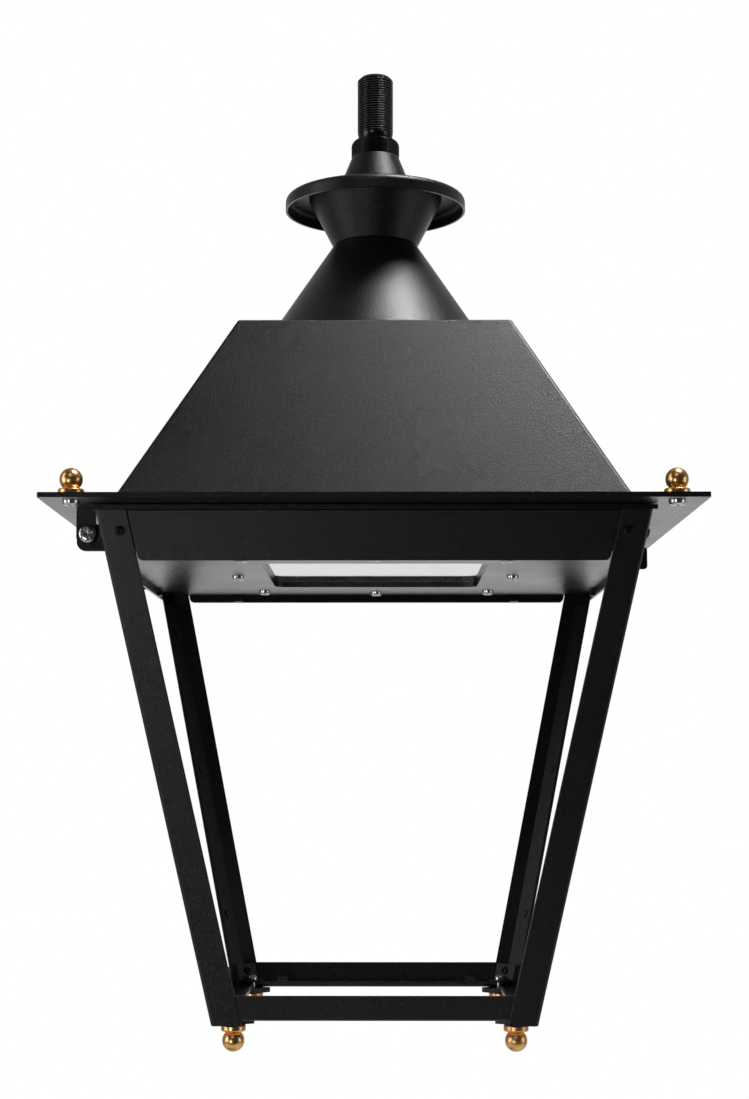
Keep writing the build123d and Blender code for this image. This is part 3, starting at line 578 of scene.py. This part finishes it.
# the cross, as shares of the head's radius or height
CROSS_ARM, CROSS_WIDTH, CROSS_WALL = 0.60, 0.13, 0.09
CROSS_DEPTH, CROSS_TAPER = 0.68, 0.6
# an axis counts as upright from this share of z on
UPRIGHT_FROM = 0.9


def head_height(x, y, head_r, head_h):
    """Dome: h times the cube root of 1 - rho^4, rho as a share of the radius, less the cross."""
    rho = np.hypot(x, y) / head_r
    dome = head_h * np.cbrt(np.clip(1 - rho ** 4, 0, 1))
    arm, width = CROSS_ARM * head_r, CROSS_WIDTH * head_r
    first = np.maximum(np.abs(x) - arm, np.abs(y) - width)
    second = np.maximum(np.abs(y) - arm, np.abs(x) - width)
    inside = np.clip(-np.minimum(first, second) / (CROSS_WALL * head_r), 0, 1)
    return dome - CROSS_DEPTH * head_h * (1 - CROSS_TAPER * rho) * inside


def screw_grid(head_r, head_h, shank_r, grip):
    """A screw on the origin, its head up: the head from the middle out, underside and shank."""
    angle = np.linspace(0, 2 * math.pi, HEAD_TURNS, endpoint=False)[None, :]
    rho = head_r * np.linspace(0, 1, HEAD_RINGS)[:, None] ** RING_SPREAD
    x, y = rho * np.cos(angle), rho * np.sin(angle)
    head = np.stack([x, y, head_height(x, y, head_r, head_h)], axis=-1)
    tail_r = np.array([shank_r, shank_r, 0.0])[:, None]
    tail_z = np.broadcast_to(np.array([0.0, -grip, -grip])[:, None], (3, HEAD_TURNS))
    tail = np.stack([tail_r * np.cos(angle), tail_r * np.sin(angle), tail_z], axis=-1)
    return np.concatenate([head, tail])


def set_on(grid, place, outward, spin_degrees):
    """Turn a grid by a spin about its axis, point its axis outward and move it; mm to metres."""
    outward = np.array(outward, float) / np.linalg.norm(outward)
    across = [1, 0, 0] if abs(outward[2]) >= UPRIGHT_FROM else [0, 0, 1]
    side = np.cross(across, outward)
    side /= np.linalg.norm(side)
    up = np.cross(outward, side)
    spin = math.radians(spin_degrees)
    first = math.cos(spin) * side + math.sin(spin) * up
    second = np.cross(outward, first)
    x, y, z = place
    return (grid @ np.array([first, second, outward]) + [x, y, UNDERSIDE + z]) / 1000


print("one screw has", grid_faces(HEAD_RINGS + 3, HEAD_TURNS).shape[0], "faces")

# %% [markdown]
# Screws of one kind are one piece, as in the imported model. Each screw is spun by another angle,
# as hand-driven ones are. The posts lean in by TAPER for each millimetre down, so their outer
# faces point down by that much, and the screws in them do too. A gusset stands across a corner,
# where both slopes add up, so its inner face and its screws point up by twice as much.

# %% screw places
TAPER = 0.2123
FIRST_SPIN, SPIN_STEP = 12, 37
SIDES = (-1, 1)
CORNERS = [(x, y) for x in SIDES for y in SIDES]
POST_SCREW_IN, POST_SCREW_OUT, POST_SCREW_LEVEL = 162.65, 175.25, -17.2
OPTIC_SCREWS = [(-88, -127), (88, -127), (-88, 127), (88, 127),
                (0, -136), (0, 136), (-99.5, 0), (99.5, 0)]

post_places = [((x * POST_SCREW_IN, y * POST_SCREW_OUT, POST_SCREW_LEVEL), (0, y, -TAPER))
               for x, y in CORNERS]
post_places += [((x * POST_SCREW_OUT, y * POST_SCREW_IN, POST_SCREW_LEVEL), (x, 0, -TAPER))
                for x, y in CORNERS]
optic_places = [((x, y, -30), (0, 0, -1)) for x, y in OPTIC_SCREWS]
bracket_places = [((x * 97.845, y * 97.845, -321.5), (-x, -y, 2 * TAPER)) for x, y in CORNERS]
foot_places = [((x * 93.6, y * 93.6, -327.5), (0, 0, 1)) for x, y in CORNERS]
roof_places = [((x * 191.5, y * 191.5, 0), (0, 0, -1)) for x, y in CORNERS]
hinge_places = [((-186.7, y * 150.3, -16.2), (0, y, 0)) for y in SIDES]
closing_places = [((188, -0.4, -17.2), (0, 1, 0))]


def screw_set(name, size, places, body, finish, stands_for):
    """All screws of one kind; size is head radius, head height, shank radius and grip."""
    grid = screw_grid(*size)
    placed = [set_on(grid, place, outward, SPIN_STEP * number + FIRST_SPIN)
              for number, (place, outward) in enumerate(places)]
    surface_piece(name, placed, body, finish, stands_for)


screw_set("post_screw_heads", (3.4, 2.2, 1.75, 4.0), post_places,
          "cage", screw_black, "post_screws")
screw_set("bracket_screw_heads", (2.9, 2.0, 1.6, 12.5), bracket_places,
          "cage", screw_black, "bracket_screws")
screw_set("optic_screw_heads", (4.4, 3.2, 2.0, 5.0), optic_places,
          "cage", plated_steel, "optic_screws")
screw_set("foot_screw_heads", (4.1, 2.8, 2.5, 15.3), foot_places,
          "cage", plated_steel, "foot_finial_screws")
screw_set("roof_screw_heads", (5.6, 3.2, 2.5, 9.3), roof_places,
          "roof", plated_steel, "roof_finial_screws")
screw_set("hinge_screw_heads", (6.0, 3.4, 3.0, 5.6), hinge_places,
          "cage", plated_steel, "hinge_screws")
screw_set("closing_screw_head", (4.75, 3.4, 2.5, 6.6), closing_places,
          "closing_screw", plated_steel, "closing_screw")
